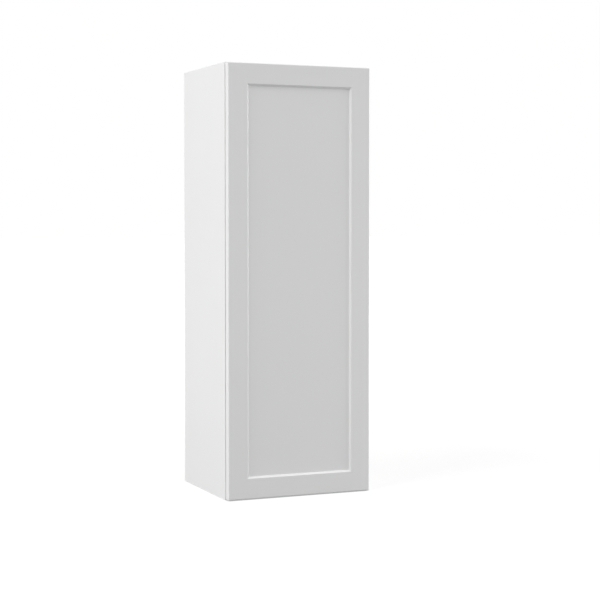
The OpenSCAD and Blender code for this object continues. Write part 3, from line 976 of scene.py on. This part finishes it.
@dataclass
class SubAssembly:
    """A part of the cabinet that dresses pieces from the frame and adds its own."""

    label: str = "sub-assembly"
    weld_mm: float = 0.002
    round_from_deg: float = 40.0
    round_segments: int = 2

    def dress(self, names: Iterable[str], finish: Finish, edge_mm: float = 0.0) -> None:
        """Gives pieces from the frame a finish, and rounds their edges where these have a size.

        Args:
            names: The pieces' names.
            finish: Their finish.
            edge_mm: The size of the rounded edge, or 0 for none.
        """
        for name in names:
            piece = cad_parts[name]
            piece.data.materials.clear()
            piece.data.materials.append(material_of(finish))
            if edge_mm:
                self.round_edges(piece, edge_mm)
            log.info("%s: %s in %s", self.label, name, finish.label)

    def round_edges(self, piece: bpy.types.Object, edge_mm: float) -> None:
        """Adds modifiers that join split corners and round the sharp edges.

        Args:
            piece: The piece to round.
            edge_mm: The size of the rounded edge.
        """
        weld = piece.modifiers.new("joined_corners", "WELD")
        weld.merge_threshold = self.weld_mm * MM
        bevel = piece.modifiers.new("rounded_edges", "BEVEL")
        bevel.width = edge_mm * MM
        bevel.segments = self.round_segments
        bevel.limit_method = "ANGLE"
        bevel.angle_limit = math.radians(self.round_from_deg)
        shade = piece.modifiers.new("even_shading", "WEIGHTED_NORMAL")
        shade.keep_sharp = True

    def add(self, name: str, data: bpy.types.Mesh, finish: Finish, place: Matrix) -> bpy.types.Object:
        """Adds a piece of its own to the scene.

        Args:
            name: The piece's name.
            data: Its mesh.
            finish: Its finish.
            place: Where it stands.

        Returns:
            The new piece.
        """
        data.name = name
        data.materials.append(material_of(finish))
        piece = bpy.data.objects.new(name, data)
        piece.matrix_world = place
        bpy.context.scene.collection.objects.link(piece)
        log.info("%s: %s in %s", self.label, name, finish.label)
        return piece


@dataclass
class CaseShell(SubAssembly):
    """The case: faced boards, edge bands, hanging rails and dowels."""

    label: str = "case"
    board_edge_mm: float = 0.25
    band_edge_mm: float = 0.25
    rail_edge_mm: float = 0.5
    dowel_edge_mm: float = 0.4

    def build(self) -> None:
        """Dresses every piece of the case."""
        self.dress(("left_side", "right_side"), CASE_BOARD, self.board_edge_mm)
        self.dress(("top_panel", "bottom_panel"), INNER_BOARD, self.board_edge_mm)
        self.dress(("back_panel",), BACK_BOARD)
        bands = [f"{place}_edge_band" for place in ("left", "right", "top", "bottom")]
        self.dress(bands, EDGE_BAND, self.band_edge_mm)
        self.dress(("upper_hanging_rail", "lower_hanging_rail"), RAIL_PLY, self.rail_edge_mm)
        self.dress(("case_dowels", "rail_dowels"), BEECH, self.dowel_edge_mm)


@dataclass
class ShelfSet(SubAssembly):
    """The three shelves with their bands and pins."""

    label: str = "shelves"
    board_edge_mm: float = 0.2
    band_edge_mm: float = 0.3
    pin_edge_mm: float = 0.3

    def build(self) -> None:
        """Dresses each shelf, its band and its pins."""
        for level in LEVELS:
            self.dress((f"{level}_shelf",), INNER_BOARD, self.board_edge_mm)
            self.dress((f"{level}_shelf_band",), EDGE_BAND, self.band_edge_mm)
            self.dress((f"{level}_shelf_pins",), NICKEL, self.pin_edge_mm)


@dataclass
class DoorLeaf(SubAssembly):
    """The door: painted frame and panel, soft spacers and bumpers."""

    label: str = "door"
    spacer_edge_mm: float = 0.3

    def build(self) -> None:
        """Dresses the door's pieces and adds its bumpers."""
        self.dress(("hinge_stile", "free_stile", "top_rail", "bottom_rail", "centre_panel"), DOOR_PAINT)
        self.dress(("panel_spacers",), FOAM_RUBBER, self.spacer_edge_mm)
        self.add_bumpers()

    def add_bumpers(self) -> None:
        """Puts a domed bumper where each of the frame's plain ones is."""
        low, high = (Vector(corner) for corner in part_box("door_bumpers"))
        radius = (high.x - low.x) / 2
        form = Bumper(radius_mm=radius / MM, rise_mm=(high.y - low.y) / MM)
        for place, height in (("lower", low.z + radius), ("upper", high.z - radius)):
            spot = Vector((low.x + radius, low.y, height))
            stand = Matrix.LocRotScale(spot, Facing.OFF_DOOR.turn(), None)
            piece = self.add(f"{place}_bumper", form.shape(), CLEAR_RUBBER, stand)
            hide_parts("door_bumpers")
            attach(piece, "door")


@dataclass
class HingeSet(SubAssembly):
    """Three concealed hinges: plated cups, arms and plates, steel pins and screws."""

    label: str = "hinges"
    metal_edge_mm: float = 0.25
    pin_edge_mm: float = 0.2
    cup_screws_apart_mm: float = 45.0
    plate_screws_apart_mm: float = 32.0

    def build(self) -> None:
        """Dresses each hinge and adds its screws."""
        for level in LEVELS:
            plated = [f"{level}_hinge_{part}" for part in ("cup", "arm", "plate")]
            self.dress(plated, NICKEL, self.metal_edge_mm)
            self.dress((f"{level}_hinge_pin",), STEEL, self.pin_edge_mm)
        self.add_cup_screws()
        self.add_plate_screws()
        self.add_adjusting_screws()

    def height_of(self, level: str) -> float:
        """Gives the height of a hinge's middle, in metres."""
        low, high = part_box(f"{level}_hinge_plate")
        return (low[2] + high[2]) / 2

    def add_cup_screws(self) -> None:
        """Adds the wood screws that hold the cups' flanges to the door."""
        low, high = (Vector(corner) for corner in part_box("cup_screws"))
        length = (high.y - low.y) / MM - Screw.head_rise_mm
        screw = Screw(thread=Thread.WOOD, crest_mm=1.75, length_mm=length)
        seat = high.y - screw.head_rise_mm * MM
        reach = self.cup_screws_apart_mm / 2 * MM
        for level in LEVELS:
            for side, offset in (("lower", -reach), ("upper", reach)):
                spot = Vector(((low.x + high.x) / 2, seat, self.height_of(level) + offset))
                self.add_screw(f"{level}_cup_{side}_screw", screw, spot, Facing.OFF_DOOR, NICKEL,
                               "cup_screws", "door", "nickel")

    def add_plate_screws(self) -> None:
        """Adds the coarse screws that hold the plates in the side's system holes."""
        low, high = (Vector(corner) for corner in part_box("plate_screws"))
        length = (high.x - low.x) / MM - Screw.head_rise_mm
        screw = Screw(thread=Thread.BOARD, crest_mm=2.4, length_mm=length)
        seat = low.x + screw.head_rise_mm * MM
        reach = self.plate_screws_apart_mm / 2 * MM
        for level in LEVELS:
            for side, offset in (("lower", -reach), ("upper", reach)):
                spot = Vector((seat, (low.y + high.y) / 2, self.height_of(level) + offset))
                self.add_screw(f"{level}_plate_{side}_screw", screw, spot, Facing.INTO_CASE, NICKEL,
                               "plate_screws", "case", "nickel")

    def add_adjusting_screws(self) -> None:
        """Adds the machine screws that set and fix the arms on their plates."""
        low, high = (Vector(corner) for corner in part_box("adjusting_screws"))
        length = (high.x - low.x) / MM - Screw.head_rise_mm
        screw = Screw(thread=Thread.MACHINE, crest_mm=1.9, length_mm=length, rim_rise_mm=1.2)
        seat = low.x + screw.head_rise_mm * MM
        inset = screw.head_mm * MM
        for level in LEVELS:
            for use, y in (("setting", low.y + inset), ("fixing", high.y - inset)):
                spot = Vector((seat, y, self.height_of(level)))
                self.add_screw(f"{level}_{use}_screw", screw, spot, Facing.INTO_CASE, STEEL,
                               "adjusting_screws", "case", "steel")

    def add_screw(self, name: str, screw: Screw, spot: Vector, facing: Facing, finish: Finish,
                  node: str, body: str, slot: str) -> None:
        """Adds one screw in place of the frame's plain one.

        Args:
            name: The piece's name.
            screw: Its form.
            spot: Where the underside of its head is.
            facing: Which way its head points.
            finish: Its finish.
            node: The frame's piece that it stands for.
            body: The body that it rides on.
            slot: The record's slot of its finish; not used.
        """
        piece = self.add(name, screw.shape(), finish, Matrix.LocRotScale(spot, facing.turn(), None))
        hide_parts(node)
        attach(piece, body)


@dataclass(frozen=True)
class SoftBox:
    """A soft studio lamp aimed at the cabinet's middle, with its power in watts and sizes in metres."""

    name: str
    side_deg: float
    height_deg: float
    power: float
    width: float = 3.0
    height: float = 3.0
    distance: float = 8.0

    def light(self, middle: Vector) -> None:
        """Hangs the lamp.

        Args:
            middle: The point that it is aimed at.
        """
        lamp = bpy.data.lights.new(self.name, "AREA")
        lamp.shape = "RECTANGLE"
        lamp.size = self.width
        lamp.size_y = self.height
        lamp.energy = self.power
        holder = bpy.data.objects.new(self.name, lamp)
        side = math.radians(self.side_deg)
        rise = math.radians(self.height_deg)
        way = Vector((-math.sin(side) * math.cos(rise), -math.cos(side) * math.cos(rise), math.sin(rise)))
        holder.location = middle + way * self.distance
        holder.rotation_euler = (-way).to_track_quat("-Z", "Y").to_euler()
        bpy.context.scene.collection.objects.link(holder)
        log.info("lamp %s: %.1f W", self.name, self.power)


@dataclass(frozen=True)
class StripBox(SoftBox):
    """A small low lamp close to the front, which evens out its light."""

    width: float = 1.2
    height: float = 0.6
    distance: float = 2.6


@dataclass
class Studio:
    """The pale room: floor, white surroundings and soft lamps."""

    ambient: float = 0.45
    floor_half: float = 60.0
    floor_tone: float = 0.22
    speckle: float = 0.02
    speckle_scale: float = 40.0
    speckle_detail: float = 3.0
    near_lift: float = 0.80
    fade: tuple[float, float] = (0.8, 2.4)
    # Painted contact shadow: the floor's glow is dimmed where the cabinet lies within this reach, down to
    # this share of it
    painted_shadow_reach: float = 0.006
    painted_shadow_floor: float = 0.40
    painted_shadow_samples: int = 8
    lamps: tuple[SoftBox, ...] = (
        SoftBox("left_lamp", side_deg=90.0, height_deg=14.0, power=173.0),
        SoftBox("left_high_lamp", side_deg=70.0, height_deg=50.0, power=270.0),
        SoftBox("front_high_lamp", side_deg=0.0, height_deg=60.0, power=89.5),
        SoftBox("right_lamp", side_deg=-85.0, height_deg=14.0, power=230.0),
        StripBox("near_left_lamp", side_deg=40.0, height_deg=-6.0, power=5.4),
        StripBox("near_right_lamp", side_deg=-60.0, height_deg=-6.0, power=11.3),
        SoftBox("back_lamp", side_deg=-165.0, height_deg=6.0, power=140.0),
    )

    def build(self) -> None:
        """Lays the floor, lights the room and sets the surroundings."""
        low, high = CAD_BOX
        middle = (Vector(low) + Vector(high)) / 2
        self.lay_floor(low[2])
        self.surround()
        for lamp in self.lamps:
            lamp.light(middle)
        bpy.context.scene.view_settings.view_transform = "Standard"

    def lay_floor(self, height: float) -> None:
        """Lays a matt floor that looks white and keeps the cabinet's soft shadow, with a painted contact
        shadow close under and beside the cabinet.

        Args:
            height: Where the floor lies, in metres.
        """
        mesh = bmesh.new()
        reach = self.floor_half
        corners = ((-reach, -reach), (reach, -reach), (reach, reach), (-reach, reach))
        mesh.faces.new([mesh.verts.new((*corner, height)) for corner in corners])
        data = bpy.data.meshes.new("floor")
        mesh.to_mesh(data)
        mesh.free()
        floor = bpy.data.objects.new("floor", data)
        bpy.context.scene.collection.objects.link(floor)
        floor.data.materials.append(self.floor_material())

    def floor_material(self) -> bpy.types.Material:
        """Makes the floor's material, lifted to white where the camera sees it away from the cabinet, with
        a painted contact shadow where that lift is dimmed close to the cabinet.

        Returns:
            The material.
        """
        material = bpy.data.materials.new("pale_floor")
        material.use_nodes = True
        graph = NodeGraph(material.node_tree)
        grains = graph.noise(graph.stretch(), self.speckle_scale, self.speckle_detail)
        tone = (self.floor_tone,) * 3
        colour = graph.blend(grains, rgba(tone, 1.0 - self.speckle), rgba(tone, 1.0 + self.speckle))
        matt = graph.add("ShaderNodeBsdfDiffuse", values={"Color": colour})
        away = graph.add("ShaderNodeVectorMath", {"operation": "LENGTH"}, {0: graph.stretch()})
        lift = graph.fade(away.outputs["Value"], self.fade, (self.near_lift, 1.0))
        # Painted contact shadow: ambient occlusion dims the floor's glow close to the cabinet, darkest in
        # the crevice under the door
        painted_shadow_occlusion = graph.add("ShaderNodeAmbientOcclusion", {"samples": self.painted_shadow_samples},
                             {"Distance": self.painted_shadow_reach})
        painted_contact_shadow = graph.maths("MULTIPLY_ADD", painted_shadow_occlusion.outputs["AO"], 1.0 - self.painted_shadow_floor,
                              self.painted_shadow_floor)
        strength = graph.maths("MULTIPLY", self.direct_view(graph), graph.maths("MULTIPLY", lift, painted_contact_shadow))
        glow = graph.add("ShaderNodeEmission", values={"Color": WHITE, "Strength": strength})
        both = graph.add("ShaderNodeAddShader", values={0: matt.outputs[0], 1: glow.outputs[0]})
        graph.add("ShaderNodeOutputMaterial", values={"Surface": both.outputs[0]})
        return material

    def direct_view(self, graph: NodeGraph) -> Socket:
        """Tells what the camera sees of the room, itself or through glass or in a reflection.

        Args:
            graph: The node graph of the floor or the surroundings.

        Returns:
            1 for such light, and 0 for other light.
        """
        rays = graph.add("ShaderNodeLightPath").outputs
        mirrored = graph.maths("ADD", rays["Is Glossy Ray"], rays["Is Transmission Ray"])
        return graph.maths("ADD", rays["Is Camera Ray"], mirrored, clamp=True)

    def surround(self) -> None:
        """Makes the surroundings white to the camera and a soft grey to the cabinet."""
        world = bpy.data.worlds.new("white_room")
        world.use_nodes = True
        bpy.context.scene.world = world
        graph = NodeGraph(world.node_tree)
        level = graph.maths("MULTIPLY_ADD", self.direct_view(graph), 1.0 - self.ambient, self.ambient)
        sky = graph.add("ShaderNodeBackground", values={"Color": WHITE, "Strength": level})
        graph.add("ShaderNodeOutputWorld", values={"Surface": sky.outputs[0]})


@dataclass(frozen=True)
class PhotoCamera:
    """A long lens at the photograph's viewing angle."""

    place_mm: tuple[float, float, float] = (-1467.9, -3601.3, 678.4)
    turn_deg: float = 23.101
    tilt_deg: float = -2.027
    focal_mm: float = 90.93
    sensor_mm: float = 36.0
    shift_y: float = -0.04

    def build(self) -> None:
        """Sets up the scene's camera."""
        lens = bpy.data.cameras.new("photo_camera")
        lens.sensor_width = self.sensor_mm
        lens.lens = self.focal_mm
        lens.shift_y = self.shift_y
        holder = bpy.data.objects.new("photo_camera", lens)
        holder.location = Vector(self.place_mm) * MM
        holder.rotation_euler = (math.radians(90 + self.tilt_deg), 0.0, math.radians(-self.turn_deg))
        bpy.context.scene.collection.objects.link(holder)
        bpy.context.scene.camera = holder


def main() -> None:
    """Builds the camera, the studio and every part of the cabinet."""
    PhotoCamera().build()
    Studio().build()
    for part in (CaseShell(), ShelfSet(), DoorLeaf(), HingeSet()):
        part.build()


if __name__ == "__main__":
    logging.basicConfig(level=logging.INFO, format="%(name)s: %(message)s")
    main()
